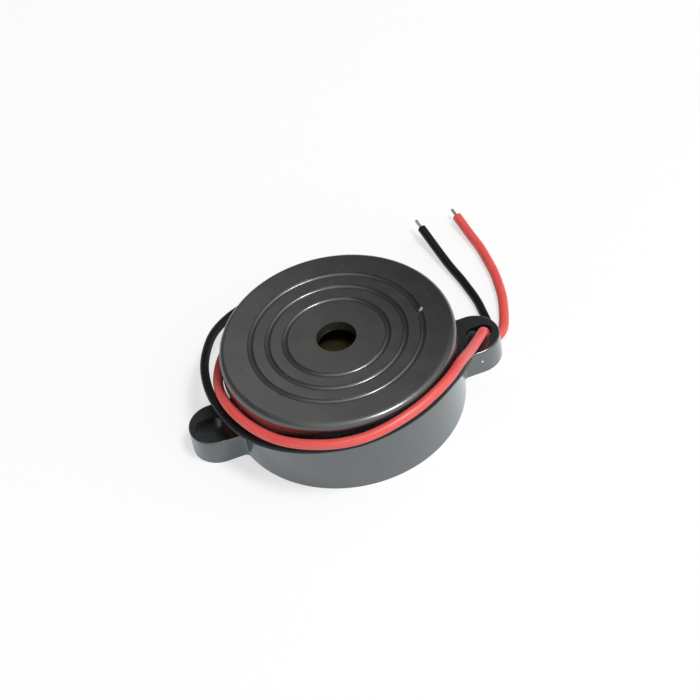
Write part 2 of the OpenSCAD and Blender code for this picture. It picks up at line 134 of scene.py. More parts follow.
def colour(name, about, default):
    """A colour that a user may change, in linear light."""
    return bpy.props.FloatVectorProperty(
        name=name, description=about, subtype="COLOR", size=3, min=0, max=1, default=default
    )


def share(name, about, default):
    """A plain number from 0 to 1 that a user may change."""
    return bpy.props.FloatProperty(
        name=name, description=about, subtype="FACTOR", min=0, max=1, default=default
    )


def length(name, about, default):
    """A length in metres that a user may change."""
    return bpy.props.FloatProperty(
        name=name, description=about, unit="LENGTH", min=0, precision=5, default=default
    )


class HousingLook(bpy.types.PropertyGroup):
    """Finish of the black moulding."""

    plastic: colour("Plastic", "Colour of the polished sides and ears", (0.0105, 0.012, 0.0135))
    face: colour("Face", "Colour of the grained front face", (0.01, 0.012, 0.0105))
    # The dust colour serves for the real dust specks and also as painted light: the next share mixes the face
    # towards it on its left, to paint that side lighter
    dust: colour("Dust", "Colour of the dust that lies on it", (0.29, 0.3, 0.285))
    painted_light: share("Film", "How much dust lies on the left of the face", 0.24)
    gloss: share("Side roughness", "How dull the polished sides are", 0.26)
    matt: share("Face roughness", "How dull the grained front face is", 0.55)
    grain: length("Grain", "Size of the mould's fine grain", 0.00022)


class LeadLook(bpy.types.PropertyGroup):
    """Sizes and finish of the hook-up leads."""

    red: colour("Red", "Colour of the red insulation", (0.73, 0.084, 0.073))
    black: colour("Black", "Colour of the black insulation", (0.006, 0.0065, 0.007))
    red_diameter: length("Red diameter", "Outside diameter of the red insulation", 0.0018)
    black_diameter: length("Black diameter", "Outside diameter of the black insulation", 0.0016)
    strands: length("Strand bundle", "Diameter of the bare strands at the tip", 0.0006)
    bare: length("Bare length", "Length of the bare strands at the tip", 0.002)


class BoardLook(bpy.types.PropertyGroup):
    """Colours of the board, the sounder and their small parts."""

    board: colour("Board", "Colour of the paper board", (0.36, 0.19, 0.07))
    # Painted shade: the brass is given a very dark colour so that the disc seen through the sound hole looks
    # shaded
    brass: colour("Brass", "Colour of the sounding disc", (0.13, 0.105, 0.055))
    sealant: colour("Sealant", "Colour of the glue beads", (0.62, 0.58, 0.47))
    copper: colour("Copper", "Colour of the tracks under the board", (0.6, 0.27, 0.13))
    track_width: length("Track width", "Width of the copper tracks", 0.0009)
    track_height: length("Track height", "How far the tracks stand out from the board", 0.00007)


class StageLook(bpy.types.PropertyGroup):
    """Light and floor."""

    floor: colour("Floor", "Colour of the floor", (0.97, 0.97, 0.97))
    ceiling: share("Ceiling", "Brightness of the ceiling over the front", 0.85)
    rear: share("Rear", "Brightness of the dim rear of the room", 0.06)
    key: share("Key", "Brightness of the lamp at the front right", 0.5)
    shadow: share("Shadow", "How much of its shadow the floor shows", 0.4)


# Shader node helpers


def put(tree, kind, inputs=None, **settings):
    """Adds a node. An input that is given a socket is linked to it, and any other gets the value."""
    node = tree.nodes.new(kind)
    for name, value in settings.items():
        setattr(node, name, value)
    for name, value in (inputs or {}).items():
        if isinstance(value, bpy.types.NodeSocket):
            tree.links.new(value, node.inputs[name])
        else:
            node.inputs[name].default_value = value
    return node


def mix(tree, factor, first, second):
    """Colour between first and second."""
    node = put(tree, "ShaderNodeMix", data_type="RGBA")
    for index, value in ((0, factor), (6, first), (7, second)):
        if isinstance(value, bpy.types.NodeSocket):
            tree.links.new(value, node.inputs[index])
        else:
            node.inputs[index].default_value = value if index == 0 else (*value, 1)
    return node.outputs[2]


def ramp(tree, value, low, high, to_low=0.0, to_high=1.0):
    """Maps value from low..high to to_low..to_high, held at both ends."""
    inputs = {"Value": value, "From Min": low, "From Max": high, "To Min": to_low, "To Max": to_high}
    return put(tree, "ShaderNodeMapRange", inputs).outputs["Result"]


def calc(tree, operation, first, second=0.0):
    """One step of arithmetic."""
    return put(tree, "ShaderNodeMath", {0: first, 1: second}, operation=operation).outputs[0]


def vector_calc(tree, operation, first, second=(0, 0, 0)):
    """One number worked out from two vectors."""
    node = put(tree, "ShaderNodeVectorMath", {0: first, 1: second}, operation=operation)
    return node.outputs["Value"]


def noise(tree, where, scale, detail, roughness=0.5):
    """Soft noise between 0 and 1."""
    inputs = {"Vector": where, "Scale": scale, "Detail": detail, "Roughness": roughness}
    return put(tree, "ShaderNodeTexNoise", inputs).outputs["Fac"]


def group(name, inputs, outputs):
    """A shader node group with named sockets; returns its tree, the input sockets and the output node."""
    tree = bpy.data.node_groups.new(name, "ShaderNodeTree")
    for label, kind in inputs:
        tree.interface.new_socket(label, in_out="INPUT", socket_type=kind)
    for label in outputs:
        tree.interface.new_socket(label, in_out="OUTPUT", socket_type="NodeSocketFloat")
    return tree, put(tree, "NodeGroupInput").outputs, put(tree, "NodeGroupOutput")


def use(tree, name, **inputs):
    """Places a node group and returns its outputs. Underscores in the names stand for spaces."""
    node = put(tree, "ShaderNodeGroup", node_tree=bpy.data.node_groups[name])
    for label, value in inputs.items():
        socket = node.inputs[label.replace("_", " ")]
        if isinstance(value, bpy.types.NodeSocket):
            tree.links.new(value, socket)
        else:
            socket.default_value = value
    return node.outputs


def build_groups():
    """Makes the shared effects: moulded grain, dust, lengthwise streaks and metal skin."""
    vector, number = "NodeSocketVector", "NodeSocketFloat"

    sockets = [("Place", vector), ("Grain scale", number)]
    tree, given, out = group("Moulded grain", sockets, ["Height", "Mottle"])
    fine = noise(tree, given["Place"], given["Grain scale"], 3)
    broad = noise(tree, given["Place"], 260, 4, 0.6)
    tree.links.new(fine, out.inputs["Height"])
    tree.links.new(ramp(tree, broad, 0.3, 0.7), out.inputs["Mottle"])

    sockets = [("Place", vector), ("Speck scale", number), ("Amount", number)]
    tree, given, out = group("Dust specks", sockets, ["Specks", "Film"])
    cells = put(tree, "ShaderNodeTexVoronoi", {"Vector": given["Place"], "Scale": given["Speck scale"]})
    pick = put(tree, "ShaderNodeSeparateColor", {"Color": cells.outputs["Color"]})
    chosen = calc(tree, "LESS_THAN", pick.outputs["Red"], given["Amount"])
    dot = ramp(tree, cells.outputs["Distance"], 0.1, 0.22, 1.0, 0.0)
    tree.links.new(calc(tree, "MULTIPLY", chosen, dot), out.inputs["Specks"])
    # Noisy patches that break up the painted light on the face
    painted_light = noise(tree, given["Place"], 140, 6, 0.65)
    tree.links.new(ramp(tree, painted_light, 0.45, 0.8), out.inputs["Film"])

    sockets = [("Place", vector), ("Streak scale", number)]
    tree, given, out = group("Lengthwise streaks", sockets, ["Streak", "Height"])
    drawn = put(tree, "ShaderNodeMapping", {"Vector": given["Place"], "Scale": (300, 26, 1)})
    fine = noise(tree, drawn.outputs["Vector"], given["Streak scale"], 3)
    tree.links.new(ramp(tree, fine, 0.35, 0.65), out.inputs["Streak"])
    tree.links.new(fine, out.inputs["Height"])

    sockets = [("Place", vector), ("Skin scale", number)]
    tree, given, out = group("Metal skin", sockets, ["Tarnish", "Height"])
    skin = noise(tree, given["Place"], given["Skin scale"], 5, 0.6)
    tree.links.new(ramp(tree, skin, 0.35, 0.7), out.inputs["Tarnish"])
    tree.links.new(skin, out.inputs["Height"])


def start_material(name, **plain):
    """A new material with a Principled BSDF; plain numbers go straight on its own sockets."""
    material = bpy.data.materials.new(name)
    material.use_nodes = True
    tree = material.node_tree
    shader = tree.nodes["Principled BSDF"]
    for label, value in plain.items():
        shader.inputs[label.replace("_", " ")].default_value = value
    return material, tree, shader


def place(tree, output="Object"):
    """The surface's own coordinates."""
    return put(tree, "ShaderNodeTexCoord").outputs[output]


def bump(tree, shader, height, strength, distance):
    """Feeds a height to the shader's normal."""
    node = put(tree, "ShaderNodeBump", {"Height": height, "Strength": strength, "Distance": distance})
    tree.links.new(node.outputs["Normal"], shader.inputs["Normal"])


def wire(tree, shader, **sockets):
    """Links sockets to the shader's inputs."""
    for label, value in sockets.items():
        tree.links.new(value, shader.inputs[label.replace("_", " ")])


def scaled(base, factor):
    """A colour made lighter or darker."""
    return tuple(min(1.0, c * factor) for c in base)


def moulded_plastic(look):
    """Black moulding: polished sides and ears, duller rim, grained matt face, a little dust, two nicks, and
    painted light that makes the face lighter towards its left.
    """
    material, tree, shader = start_material(
        "Moulded black plastic", IOR=1.6, Coat_Roughness=0.2, Coat_IOR=2.05
    )
    rim_low, rim_high, rim_share = (BODY_H - 1.3) * MM, (BODY_H - 0.7) * MM, 0.4
    face_low, face_high = (BODY_H - 0.08) * MM, (BODY_H - 0.02) * MM
    painted_light_reach = 0.9 * BODY_R * MM
    bared = (0.85, 0.85, 0.83)
    where = place(tree)
    high = put(tree, "ShaderNodeSeparateXYZ", {"Vector": where}).outputs["Z"]
    rim = ramp(tree, high, rim_low, rim_high, 0.0, rim_share)
    matt = calc(tree, "MAXIMUM", rim, ramp(tree, high, face_low, face_high))
    grain = use(tree, "Moulded grain", Place=where, Grain_scale=1 / look.grain)
    dust = use(tree, "Dust specks", Place=where, Speck_scale=900, Amount=0.04)
    tone = mix(tree, matt, look.plastic, look.face)
    tone = mix(tree, calc(tree, "MULTIPLY", grain["Mottle"], 0.02), tone, look.dust)
    # Painted light: the face and rim are mixed towards the dust colour, most on the left and none on the
    # right, in noisy patches
    side = vector_calc(tree, "DOT_PRODUCT", where, PAINTED_LIGHT_SIDE)
    painted_light = calc(tree, "MULTIPLY", ramp(tree, side, -painted_light_reach, painted_light_reach, 0.0, look.painted_light), matt)
    painted_light = calc(tree, "MULTIPLY", painted_light, ramp(tree, dust["Film"], 0, 1, 0.9, 1.1))
    tone = mix(tree, painted_light, tone, look.dust)
    tone = mix(tree, calc(tree, "MULTIPLY", dust["Specks"], 0.12), tone, look.dust)
    for spot, size in NICKS:
        off = vector_calc(tree, "DISTANCE", where, [part * MM for part in spot])
        tone = mix(tree, ramp(tree, off, 0.5 * size * MM, size * MM, 1.0, 0.0), tone, bared)
    mottle = ramp(tree, grain["Mottle"], 0, 1, -0.03, 0.04)
    rough = calc(tree, "ADD", ramp(tree, matt, 0, 1, look.gloss, look.matt), mottle)
    wire(tree, shader, Base_Color=tone, Roughness=rough, Coat_Weight=calc(tree, "SUBTRACT", 1.0, matt))
    height = calc(tree, "MULTIPLY", grain["Height"], ramp(tree, matt, 0, 1, 0.06, 1.0))
    bump(tree, shader, height, 0.2, 0.00004)
    return material


def insulation(name, base, dust_share, ior):
    """Soft drawn insulation: streaks along the lead, a little dust and a smooth waxy gloss."""
    material, tree, shader = start_material(name, IOR=ior)
    where = place(tree, "UV")
    streak = use(tree, "Lengthwise streaks", Place=where, Streak_scale=1.0)
    dust = use(tree, "Dust specks", Place=place(tree), Speck_scale=1400, Amount=0.04)
    tone = mix(tree, streak["Streak"], scaled(base, 0.88), scaled(base, 1.12))
    tone = mix(tree, calc(tree, "MULTIPLY", dust["Specks"], dust_share), tone, (0.5, 0.48, 0.45))
    rough = ramp(tree, streak["Streak"], 0, 1, 0.38, 0.46)
    wire(tree, shader, Base_Color=tone, Roughness=rough)
    bump(tree, shader, streak["Height"], 0.12, 0.00004)
    return material


def metal(name, base, tarnish, roughness, scale=900, depth=0.00002):
    """Bare metal with a patchy tarnish and an uneven skin."""
    material, tree, shader = start_material(name, Metallic=1.0)
    skin = use(tree, "Metal skin", Place=place(tree), Skin_scale=scale)
    wire(tree, shader, Base_Color=mix(tree, skin["Tarnish"], base, tarnish))
    wire(tree, shader, Roughness=ramp(tree, skin["Tarnish"], 0, 1, roughness, roughness + 0.2))
    bump(tree, shader, skin["Height"], 0.3, depth)
    return material


def grained(name, base, roughness, scale=3000, depth=0.00003, spread=0.2):
    """A matt or satin solid with a fine grain and a soft mottle."""
    material, tree, shader = start_material(name)
    grain = use(tree, "Moulded grain", Place=place(tree), Grain_scale=scale)
    tone = mix(tree, grain["Mottle"], scaled(base, 1 - spread), scaled(base, 1 + spread))
    wire(tree, shader, Base_Color=tone)
    wire(tree, shader, Roughness=ramp(tree, grain["Mottle"], 0, 1, roughness, roughness + 0.1))
    bump(tree, shader, grain["Height"], 0.25, depth)
    return material


def dress(node, material):
    """Gives a CAD node its finish."""
    mesh = NODES[node].data
    mesh.materials.clear()
    mesh.materials.append(material)


# Surfaces


def lead_route(out, wrap, ear):
    """A lead's route in metres, from the same points as the part's source."""
    out, wrap, ear = (np.array(part, float) for part in (out, wrap, ear))
    turn, reach = np.radians(wrap[:, 0]), BODY_R + wrap[:, 1]
    wall = np.stack([reach * np.cos(turn), reach * np.sin(turn), wrap[:, 2]], 1)
    return np.concatenate([out + [0, BODY_R, 0], wall, ear + [SLOT_X, 0, 0]]) * MM


def smooth_line(points, count):
    """Natural cubic spline: each coordinate is a cubic of the chord length between two points, and slope
    and curvature carry on across the points. Its second derivatives solve one linear system."""
    knot = np.r_[0, np.cumsum(np.linalg.norm(np.diff(points, axis=0), axis=1))]
    gap, rise = np.diff(knot)[:, None], np.diff(points, axis=0)
    total = len(points)
    inner = np.arange(1, total - 1)
    system, right = np.eye(total), np.zeros_like(points)
    system[inner, inner - 1] = gap[:-1, 0]
    system[inner, inner] = 2 * (gap[:-1, 0] + gap[1:, 0])
    system[inner, inner + 1] = gap[1:, 0]
    right[1:-1] = 6 * (rise[1:] / gap[1:] - rise[:-1] / gap[:-1])
    bend = np.linalg.solve(system, right)
    at = np.linspace(0, knot[-1], count)
    span = np.clip(np.searchsorted(knot, at, side="right") - 1, 0, total - 2)
    wide = gap[span]
    a = (knot[span + 1] - at)[:, None] / wide
    b = 1 - a
    curved = ((a**3 - a) * bend[span] + (b**3 - b) * bend[span + 1]) * wide**2 / 6
    return a * points[span] + b * points[span + 1] + curved


def eased_bends(line, radius):
    """Opens every bend that is tighter than the radius: its points move towards the middle of their
    neighbours, half of the way at a time, until the turn for each length of line is small enough."""
    line = line.copy()
    for _ in range(2000):
        ahead = np.diff(line, axis=0)
        step = np.linalg.norm(ahead, axis=1)
        turn = np.linalg.norm(np.diff(ahead / step[:, None], axis=0), axis=1) * 2 / (step[1:] + step[:-1])
        tight = turn > 1 / radius
        if not tight.any():
            break
        line[1:-1][tight] += 0.25 * (line[2:] - 2 * line[1:-1] + line[:-2])[tight]
    return line


def carried_sides(line):
    """For each point of a line, two directions across it that turn as little as possible along it."""
    ahead = np.gradient(line, axis=0)
    ahead /= np.linalg.norm(ahead, axis=1)[:, None]
    side = np.zeros_like(ahead)
    last = np.array([0.0, 0.0, 1.0]) if abs(ahead[0, 2]) < 0.9 else np.array([1.0, 0.0, 0.0])
    for i, way in enumerate(ahead):
        last = last - (last @ way) * way
        last = last / np.linalg.norm(last)
        side[i] = last
    return side, np.cross(ahead, side)


def round_turn(sides):
    """Evenly spaced angles of a round profile."""
    return np.linspace(0, 2 * math.pi, sides, endpoint=False)


def tube_mesh(name, line, radii, turn):
    """A profile carried along a line: point (i, k) = line_i + radii_ik (cos a_k side_i + sin a_k up_i), with
    flat ends, where turn holds the angles a_k. The UV map holds the length along the line in metres and the
    share of the way round."""
    side, up = carried_sides(line)
    count, sides = len(line), len(turn)
    radii = np.broadcast_to(radii, (count, sides))[:, :, None]
    across = np.cos(turn)[:, None] * side[:, None] + np.sin(turn)[:, None] * up[:, None]
    rings = line[:, None] + radii * across
    i, k = np.meshgrid(np.arange(count - 1), np.arange(sides), indexing="ij")
    after = (k + 1) % sides
    here, there = i * sides, (i + 1) * sides
    quads = np.stack([here + k, here + after, there + after, there + k], -1).reshape(-1, 4)
    ends = [list(range(sides))[::-1], list(range((count - 1) * sides, count * sides))]
    mesh = bpy.data.meshes.new(name)
    mesh.from_pydata(rings.reshape(-1, 3), [], quads.tolist() + ends)
    run = np.r_[0, np.cumsum(np.linalg.norm(np.diff(line, axis=0), axis=1))]
    u = run[np.stack([i, i, i + 1, i + 1], -1).reshape(-1)]
    v = np.stack([k, k + 1, k + 1, k], -1).reshape(-1) / sides
    uv = np.concatenate([np.stack([u, v], 1), np.zeros((2 * sides, 2))])
    mesh.uv_layers.new(name="Along").data.foreach_set("uv", uv.astype(np.float32).ravel())
    smooth = np.r_[np.ones(len(quads), bool), [False, False]]
    mesh.polygons.foreach_set("use_smooth", smooth)
    mesh.update()
    return mesh


def eased_ends(line, radius, easing):
    """A line with extra points close to both ends, and radii that round the end edges over that distance."""
    steps = np.array([0.0, 0.3, 1.0]) * easing
    shrink = np.array([0.78, 0.93, 1.0])
    run = np.r_[0, np.cumsum(np.linalg.norm(np.diff(line, axis=0), axis=1))]
    inner = run[(run > 2 * easing) & (run < run[-1] - 2 * easing)]
    at = np.r_[steps, inner, run[-1] - steps[::-1]]
    radii = np.r_[shrink, np.ones(len(inner)), shrink[::-1]] * radius
    return np.stack([np.interp(at, run, line[:, axis]) for axis in range(3)], 1), radii[:, None]


def add_piece(mesh, material, slot, *nodes):
    """Puts a new mesh on the body, with its finish, in place of the CAD nodes that are named."""
    piece = bpy.data.objects.new(mesh.name, mesh)
    bpy.context.scene.collection.objects.link(piece)
    mesh.materials.append(material)
    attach(piece, BODY)
    if nodes:
        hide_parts(*nodes)
    return piece


def strand_bundle(name, start, way, radius, reach):
    """Seven twisted strands as one lobed profile, drawn in at the tip: the radius is
    radius (0.84 + 0.16 |cos 3.5 (a - twist)|)."""
    sides, count, turns = 84, 40, 0.35
    along = np.linspace(0, 1, count)[:, None]
    angle = round_turn(sides)
    lobes = 0.84 + 0.16 * np.abs(np.cos(3.5 * (angle - 2 * math.pi * turns * along)))
    taper = 1 - 0.25 * np.clip((along - 0.9) / 0.1, 0, 1) ** 2
    return tube_mesh(name, start + along * way * reach, radius * lobes * taper, angle)


class BUZZER_OT_stage(bpy.types.Operator):
    """Sets the camera, the soft lamp, the white room and the pale floor"""

    bl_idname = "buzzer.stage"
    bl_label = "Stage"

    def execute(self, context):
        look = context.scene.buzzer_stage
        self.add_camera(context)
        self.add_room(context, look)
        self.add_floor(context, look)
        self.add_lamp(context, look)
        context.scene.view_settings.view_transform = "Standard"
        return {"FINISHED"}

    def add_camera(self, context):
        """The photograph's view: 45.75 degrees above the floor, 10.16 degrees round, turned 11.6 degrees."""
        raised, round_by, turned = (math.radians(angle) for angle in (45.75, -10.16, 11.6))
        aim, away = Vector((0, 0, BODY_H * MM)), 0.417
        back = Vector((
            math.sin(round_by) * math.cos(raised),
            -math.cos(round_by) * math.cos(raised),
            math.sin(raised),
        ))
        level = (-back).to_track_quat("-Z", "Y").to_matrix()
        data = bpy.data.cameras.new("Camera")
        data.sensor_width, data.lens = 36, 123.43
        data.shift_x, data.shift_y = 0.0196, -0.0194
        data.clip_start, data.clip_end = 0.01, 20
        camera = bpy.data.objects.new("Camera", data)
        turn = level @ Matrix.Rotation(-turned, 3, "Z")
        camera.matrix_world = Matrix.Translation(aim + back * away) @ turn.to_4x4()
        context.scene.collection.objects.link(camera)
        context.scene.camera = camera

    def add_room(self, context, look):
        """A room: bright over the front, pale near the floor, dim at the rear and white to the camera."""
        bright_way = (0.3, -0.65, 0.7)
        world = bpy.data.worlds.new("White room")
        world.use_nodes = True
        tree = world.node_tree
        tree.nodes.clear()
        path = put(tree, "ShaderNodeLightPath")
        seen = put(tree, "ShaderNodeBackground", {"Color": (1, 1, 1, 1), "Strength": 1.0})
        way = place(tree, "Generated")
        over = vector_calc(tree, "DOT_PRODUCT", way, bright_way)
        over = ramp(tree, over, 0.2, 0.8, look.rear, look.ceiling)
        split = put(tree, "ShaderNodeSeparateXYZ", {"Vector": way}).outputs
        low = ramp(tree, split["Z"], 0.08, 0.35, 0.9, 0.0)
        low = calc(tree, "MULTIPLY", low, ramp(tree, split["Y"], 0.2, 0.8, 1.0, 0.3))
        level = calc(tree, "MAXIMUM", over, low)
        light = put(tree, "ShaderNodeBackground", {"Color": (1, 1, 1, 1), "Strength": level})
        shaders = {0: path.outputs["Is Camera Ray"], 1: light.outputs[0], 2: seen.outputs[0]}
        pick = put(tree, "ShaderNodeMixShader", shaders)
        put(tree, "ShaderNodeOutputWorld", {"Surface": pick.outputs[0]})
        context.scene.world = world

    def add_floor(self, context, look):
        """A square sheet just under the base. Seen from below it lets the underside show. Seen in reflections
        it glows as a painted reflection, dim and bluish at the left and near white at the right.
        """
        half, low = 3.0, -0.02 * MM
        left, right = -60 * MM, 30 * MM
        # Painted reflection: in reflected rays the floor glows from a dim blue at the left to near white at
        # the right, so the housing's sides show a bluish reflection that brightens to the right
        reflection_left_tone, reflection_right_tone = (0.43, 0.51, 0.58), (0.86, 0.97, 1)
        mesh = bpy.data.meshes.new("floor")
        grid = np.array([(-half, -half, low), (half, -half, low), (half, half, low), (-half, half, low)])
        mesh.from_pydata(grid, [], [[0, 1, 2, 3]])
        material, tree, shader = start_material("Pale floor", Roughness=0.9, Specular_IOR_Level=0.1)
        shader.inputs["Base Color"].default_value = (*look.floor, 1)
        path = put(tree, "ShaderNodeLightPath")
        across = put(tree, "ShaderNodeSeparateXYZ", {"Vector": place(tree)}).outputs["X"]
        painted_reflection = mix(tree, ramp(tree, across, left, right), reflection_left_tone, reflection_right_tone)
        shown = mix(tree, path.outputs["Is Camera Ray"], painted_reflection, (1, 1, 1))
        # The glow is white to the camera and a painted reflection in reflected rays
        white = put(tree, "ShaderNodeEmission", {"Color": shown, "Strength": 1.0})
        clear = put(tree, "ShaderNodeBsdfTransparent")
        rays = calc(tree, "MAXIMUM", path.outputs["Is Camera Ray"], path.outputs["Is Glossy Ray"])
        rays = calc(tree, "MAXIMUM", rays, path.outputs["Is Transmission Ray"])
        covered, slotted = self.floor_masks(tree)
        lifted = calc(tree, "MULTIPLY", calc(tree, "MULTIPLY", rays, 1 - look.shadow), slotted)
        lifted = calc(tree, "MAXIMUM", lifted, covered)
        front = put(tree, "ShaderNodeMixShader", {0: lifted, 1: shader.outputs[0], 2: white.outputs[0]})
        below = put(tree, "ShaderNodeNewGeometry").outputs["Backfacing"]
        both = put(tree, "ShaderNodeMixShader", {0: below, 1: front.outputs[0], 2: clear.outputs[0]})
        tree.links.new(both.outputs[0], tree.nodes["Material Output"].inputs["Surface"])
        mesh.materials.append(material)
        floor = bpy.data.objects.new("floor", mesh)
        context.scene.collection.objects.link(floor)

    def floor_masks(self, tree):
        """Two masks: one shows under the round body, where the floor lights the board from below, and the
        other is 0 under the slots."""
        lit, lit_to, dark_from = 0.9, (BODY_R - 3) * MM, (BODY_R - 2) * MM
        slot_half_length, slot_half_width = (2.5 * MM, 3.2 * MM), (2 * MM, 3 * MM)
        split = put(tree, "ShaderNodeSeparateXYZ", {"Vector": place(tree)}).outputs
        flat = put(tree, "ShaderNodeCombineXYZ", {"X": split["X"], "Y": split["Y"]}).outputs[0]
        covered = ramp(tree, vector_calc(tree, "LENGTH", flat), lit_to, dark_from, lit, 0.0)
        from_slot = calc(tree, "SUBTRACT", calc(tree, "ABSOLUTE", split["X"]), SLOT_X * MM)
        along = ramp(tree, calc(tree, "ABSOLUTE", from_slot), *slot_half_length)
        beside = ramp(tree, calc(tree, "ABSOLUTE", split["Y"]), *slot_half_width)
        return covered, calc(tree, "MAXIMUM", along, beside)

    def add_lamp(self, context, look):
        """One soft lamp high at the front right."""
        turn, raised, away = math.radians(-50), math.radians(66), 1.1
        full_power, across = 14, 0.3
        spot = away * Vector((
            math.cos(turn) * math.cos(raised),
            math.sin(turn) * math.cos(raised),
            math.sin(raised),
        ))
        data = bpy.data.lights.new("Key", "AREA")
        data.shape, data.size, data.energy = "DISK", across, full_power * look.key
        lamp = bpy.data.objects.new("Key", data)
        aim = (-spot).to_track_quat("-Z", "Y")
        lamp.matrix_world = Matrix.Translation(spot) @ aim.to_matrix().to_4x4()
        lamp.visible_camera = False
        context.scene.collection.objects.link(lamp)


class BUZZER_OT_leads(bpy.types.Operator):
    """Lays the red and the black lead round the housing, through the ear and out, with their bare strands"""

    bl_idname = "buzzer.leads"
    bl_label = "Hook-up leads"

    def execute(self, context):
        look = context.scene.buzzer_leads
        tinned = metal("Tinned strands", (0.72, 0.72, 0.72), (0.5, 0.49, 0.47), 0.25)
        edge, hidden, opened = 0.08 * MM, 0.3 * MM, 2.1
        leads = (
            ("red", look.red, 0.1, 1.65, (RED_OUT, RED_WRAP, RED_EAR), look.red_diameter, 0.157),
            ("black", look.black, 0.03, 1.35, (BLACK_OUT, BLACK_WRAP, BLACK_EAR), look.black_diameter, 0.165),
        )
        for name, tone, dust_share, ior, parts, thick, real_length in leads:
            points = lead_route(*parts)
            line = eased_bends(smooth_line(points, 440), opened * thick)
            path, radii = eased_ends(line, thick / 2, edge)
            finish = insulation(f"{name.capitalize()} insulation", tone, dust_share, ior)
            tube = tube_mesh(f"{name}_insulation", path, radii, round_turn(24))
            lead = add_piece(tube, finish, f"{name}_insulation", f"{name}_lead")
            way = line[-1] - line[-2]
            way /= np.linalg.norm(way)
            start, reach = line[-1] - way * hidden, look.bare + hidden
            bundle = strand_bundle(f"{name}_strands", start, way, look.strands / 2, reach)
            strands = add_piece(bundle, tinned, "tinned_wire", f"{name}_lead_tip")
        return {"FINISHED"}


class BUZZER_OT_housing(bpy.types.Operator):
    """Gives the moulded housing its satin black plastic"""

    bl_idname = "buzzer.housing"
    bl_label = "Housing"

    def execute(self, context):
        dress("housing", moulded_plastic(context.scene.buzzer_housing))
        return {"FINISHED"}


class BUZZER_OT_sounder(bpy.types.Operator):
    """Finishes the brass disc, the ceramic, its silvered areas and the sealing bead"""

    bl_idname = "buzzer.sounder"
    bl_label = "Sounder"

    def execute(self, context):
        look = context.scene.buzzer_board
        # Painted shade: the disc's brass is darkened to stand for the shade inside the sound hole
        dress("diaphragm", metal("Rolled brass", look.brass, scaled(look.brass, 0.6), 0.42, 500))
        dress("ceramic_disc", grained("Fired ceramic", (0.6, 0.54, 0.4), 0.55, 4000))
        silver = metal("Printed silver", (0.7, 0.69, 0.66), (0.5, 0.48, 0.44), 0.4, 2500)
        for node in ("drive_electrode", "feedback_electrode"):
            dress(node, silver)
        dress("diaphragm_bead", grained("Disc sealant", look.sealant, 0.45, 900, 0.0002))
        return {"FINISHED"}


class BUZZER_OT_board(bpy.types.Operator):
    """Finishes the board, its glue bead, its parts and its solder joints"""

    bl_idname = "buzzer.board"
    bl_label = "Board"

    def execute(self, context):
        look = context.scene.buzzer_board
        dress("driver_board", grained("Paper board", look.board, 0.5, 2200, 0.00004, 0.14))
        dress("board_bead", grained("Board glue", look.sealant, 0.35, 700, 0.0003, 0.1))
        solder = metal("Solder", (0.7, 0.71, 0.72), (0.45, 0.46, 0.47), 0.2, 1500, 0.00006)
        tinned = bpy.data.materials["Tinned strands"]
        for node in ("board_solder", "disc_solder"):
            dress(node, solder)
        for node in ("transistor_legs", "choke_legs", "resistor_legs"):
            dress(node, tinned)
        dress("transistor_case", grained("Moulded epoxy", (0.012, 0.012, 0.013), 0.5, 5000))
        dress("choke_core", grained("Ferrite", (0.05, 0.047, 0.045), 0.6, 3000))
        dress("choke_winding", self.wound_copper())
        brown, black, orange = (0.25, 0.1, 0.04), (0.01, 0.01, 0.01), (0.6, 0.1, 0.03)
        yellow, violet = (0.7, 0.5, 0.02), (0.2, 0.05, 0.3)
        base_coat = self.banded_resistor("Base resistor coat", RESISTOR_X, (brown, black, orange))
        bias_coat = self.banded_resistor("Bias resistor coat", -RESISTOR_X, (yellow, violet, brown))
        dress("base_resistor", base_coat)
        dress("bias_resistor", bias_coat)
        return {"FINISHED"}

    def wound_copper(self):
        """Enamelled wire: turns 0.36 mm apart up the winding, with a varnished gloss, and painted shade that
        darkens the grooves between the turns.
        """
        material, tree, shader = start_material("Wound copper", Metallic=1.0, Coat_Roughness=0.2)
        where = place(tree)
        skin = use(tree, "Metal skin", Place=where, Skin_scale=1200)
        pattern = {"Vector": where, "Scale": 870, "Distortion": 0.6}
        turns = put(tree, "ShaderNodeTexWave", pattern, bands_direction="Z").outputs["Fac"]
        # Painted shade: the copper colour runs dark in the grooves between the turns, the low parts of the
        # same wave that drives the bump
        tone = mix(tree, turns, (0.2, 0.06, 0.02), (0.55, 0.2, 0.07))
        wire(tree, shader, Base_Color=tone, Roughness=ramp(tree, skin["Tarnish"], 0, 1, 0.25, 0.4))
        bump(tree, shader, turns, 0.8, 0.00008)
        return material

    def banded_resistor(self, name, middle, bands):
        """Tan lacquer with painted bands round the body, at fixed places from its middle, in millimetres."""
        pitch, half_wide, first = 0.8, 0.2, -1.2
        material, tree, shader = start_material(name)
        where = place(tree)
        grain = use(tree, "Moulded grain", Place=where, Grain_scale=3500)
        along = put(tree, "ShaderNodeSeparateXYZ", {"Vector": where}).outputs["X"]
        tone = mix(tree, grain["Mottle"], (0.44, 0.26, 0.12), (0.56, 0.35, 0.17))
        for index, paint in enumerate(bands):
            spot = (middle + (first + index) * pitch) * MM
            off = calc(tree, "ABSOLUTE", calc(tree, "SUBTRACT", along, spot))
            painted = ramp(tree, off, 0.9 * half_wide * MM, 1.1 * half_wide * MM, 1.0, 0.0)
            tone = mix(tree, painted, tone, paint)
        wire(tree, shader, Base_Color=tone, Roughness=ramp(tree, grain["Mottle"], 0, 1, 0.25, 0.35))
        bump(tree, shader, grain["Height"], 0.2, 0.00003)
        return material


